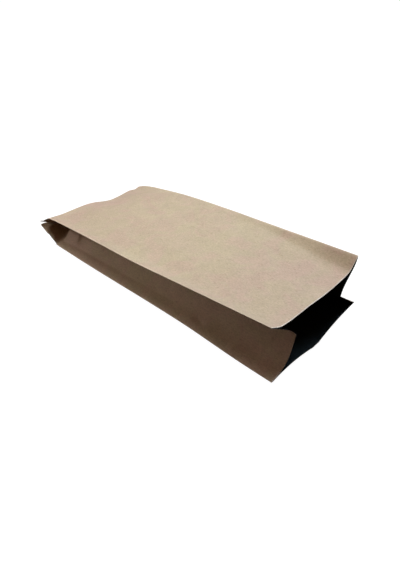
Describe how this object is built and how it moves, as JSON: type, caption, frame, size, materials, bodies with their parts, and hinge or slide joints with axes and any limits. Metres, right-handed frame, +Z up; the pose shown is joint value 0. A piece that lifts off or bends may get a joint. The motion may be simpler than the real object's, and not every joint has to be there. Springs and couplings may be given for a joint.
{
  "type": "side gusset bag",
  "caption": "Empty kraft paper bag with inward side gussets and a dark film lining, lying on its back with one end sealed flat and the mouth open.",
  "frame": {"origin": "centre of the bounding box in plan, on the surface that the bag lies on", "axes": "+X along the bag from the sealed end to the open mouth, +Y across it to the far gusset, +Z up from the back panel to the front panel"},
  "size_m": [0.341, 0.1352, 0.0718],
  "materials": {
    "kraft_paper": "matt, uncoated",
    "film_lining": "dark metallised film, satin"
  },
  "bodies": {
    "root": {"bag": "kraft_paper"}
  },
  "joints": []
}
